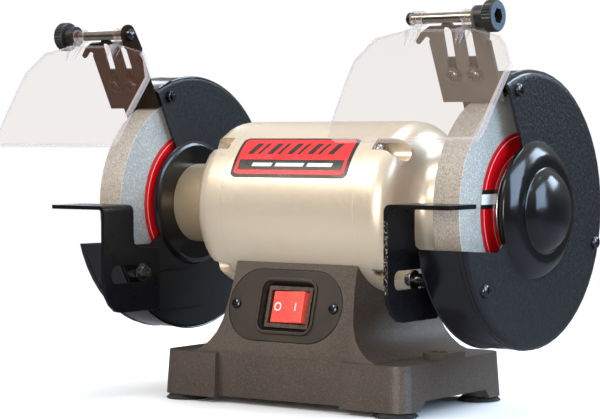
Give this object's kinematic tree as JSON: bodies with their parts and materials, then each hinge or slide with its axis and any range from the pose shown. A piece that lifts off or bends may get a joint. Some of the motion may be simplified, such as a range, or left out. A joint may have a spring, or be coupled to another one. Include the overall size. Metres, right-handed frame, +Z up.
{
  "type": "bench grinder",
  "caption": "Bench grinder: a motor on a cast base turns a guarded grinding wheel at each end, with adjustable tool rests, tilting clear eye shields and a rocker switch.",
  "frame": {"origin": "on the bench surface, under the middle of the bounding box", "axes": "+X along the spindle to the operator's right, +Y away from the operator, +Z up"},
  "size_m": [0.3904, 0.2092, 0.2614],
  "materials": {
    "base_casting": "textured",
    "base_sheet": "satin",
    "foot_rubber": "matte",
    "capacitor_can": "satin",
    "switch_sheet": "satin",
    "switch_shell": "satin",
    "switch_cap": "gloss",
    "motor_paint": "satin",
    "core_steel": "rough",
    "copper_wire": "gloss",
    "turned_steel": "brushed",
    "zinc_steel": "satin",
    "guard_paint": "gloss",
    "bracket_paint": "satin",
    "rest_paint": "satin",
    "rod_plate": "polished",
    "knob_plastic": "matte",
    "shield_sheet": "clear",
    "abrasive": "rough",
    "blotter_paper": "matte"
  },
  "bodies": {
    "root": {"base_housing": "base_casting", "base_plate": "base_sheet", "foot_1": "foot_rubber", "foot_2": "foot_rubber", "foot_3": "foot_rubber", "foot_4": "foot_rubber", "cable_gland": "foot_rubber", "capacitor": "capacitor_can", "switch_plate": "switch_sheet", "switch_body": "switch_shell", "motor_shell": "motor_paint", "stator_core": "core_steel", "left_end_bell": "motor_paint", "left_winding": "copper_wire", "left_bearing": "turned_steel", "left_cover_screw_1": "zinc_steel", "left_cover_screw_2": "zinc_steel", "left_cover_screw_3": "zinc_steel", "left_bracket_screw_1": "zinc_steel", "left_bracket_screw_2": "zinc_steel", "left_guard_drum": "guard_paint", "left_guard_cover": "guard_paint", "right_end_bell": "motor_paint", "right_winding": "copper_wire", "right_bearing": "turned_steel", "right_cover_screw_1": "zinc_steel", "right_cover_screw_2": "zinc_steel", "right_cover_screw_3": "zinc_steel", "right_bracket_screw_1": "zinc_steel", "right_bracket_screw_2": "zinc_steel", "right_guard_drum": "guard_paint", "right_guard_cover": "guard_paint"},
    "spindle": {"spindle_shaft": "turned_steel", "rotor_core": "core_steel", "left_wheel": "abrasive", "left_inner_flange": "turned_steel", "left_outer_flange": "turned_steel", "left_inner_blotter": "blotter_paper", "left_outer_blotter": "blotter_paper", "left_spindle_nut": "zinc_steel", "right_wheel": "abrasive", "right_inner_flange": "turned_steel", "right_outer_flange": "turned_steel", "right_inner_blotter": "blotter_paper", "right_outer_blotter": "blotter_paper", "right_spindle_nut": "zinc_steel"},
    "rocker": {"rocker": "switch_cap"},
    "left_rest_pivot": {"left_rest_bolt": "zinc_steel"},
    "left_rest": {"left_tool_rest": "rest_paint"},
    "left_bracket": {"left_shield_bracket": "bracket_paint", "left_shield_rod": "rod_plate"},
    "left_shield": {"left_eye_shield": "shield_sheet"},
    "left_knob": {"left_shield_knob": "knob_plastic"},
    "right_rest_pivot": {"right_rest_bolt": "zinc_steel"},
    "right_rest": {"right_tool_rest": "rest_paint"},
    "right_bracket": {"right_shield_bracket": "bracket_paint", "right_shield_rod": "rod_plate"},
    "right_shield": {"right_eye_shield": "shield_sheet"},
    "right_knob": {"right_shield_knob": "knob_plastic"}
  },
  "joints": [
    {"name": "spindle_spin", "type": "hinge", "parent": "root", "child": "spindle", "pos_m": [0.0097, 0.0156, 0.1312], "axis": [1, 0, 0], "continuous": true},
    {"name": "rocker_throw", "type": "hinge", "parent": "root", "child": "rocker", "pos_m": [0.0078, -0.03331, 0.0652], "axis": [0, 0.2716, 0.9624], "range_deg": [0, 17]},
    {"name": "left_rest_tilt", "type": "hinge", "parent": "root", "child": "left_rest_pivot", "pos_m": [-0.1038, -0.05416, 0.08564], "axis": [1, 0, 0], "range_deg": [-0.8, 45]},
    {"name": "left_rest_slide", "type": "slide", "parent": "left_rest_pivot", "child": "left_rest", "axis": [0, 1, 0], "range_m": [-0.0042, 0.0012]},
    {"name": "left_bracket_slide", "type": "slide", "parent": "root", "child": "left_bracket", "axis": [0, -0.4633, 0.8862], "range_m": [-0.0008, 0.0021]},
    {"name": "left_shield_tilt", "type": "hinge", "parent": "left_bracket", "child": "left_shield", "pos_m": [-0.12785, -0.05003, 0.2481], "axis": [1, 0, 0], "range_deg": [-75, 15]},
    {"name": "left_knob_turn", "type": "hinge", "parent": "left_bracket", "child": "left_knob", "pos_m": [-0.12785, -0.05003, 0.2481], "axis": [1, 0, 0], "continuous": true},
    {"name": "right_rest_tilt", "type": "hinge", "parent": "root", "child": "right_rest_pivot", "pos_m": [0.1232, -0.05659, 0.0896], "axis": [1, 0, 0], "range_deg": [-0.8, 45]},
    {"name": "right_rest_slide", "type": "slide", "parent": "right_rest_pivot", "child": "right_rest", "axis": [0, 1, 0], "range_m": [-0.0066, 0.0012]},
    {"name": "right_bracket_slide", "type": "slide", "parent": "root", "child": "right_bracket", "axis": [0, -0.4131, 0.9107], "range_m": [-0.0008, 0.0021]},
    {"name": "right_shield_tilt", "type": "hinge", "parent": "right_bracket", "child": "right_shield", "pos_m": [0.14725, -0.0434, 0.25158], "axis": [1, 0, 0], "range_deg": [-75, 15]},
    {"name": "right_knob_turn", "type": "hinge", "parent": "right_bracket", "child": "right_knob", "pos_m": [0.14725, -0.0434, 0.25158], "axis": [1, 0, 0], "continuous": true}
  ]
}
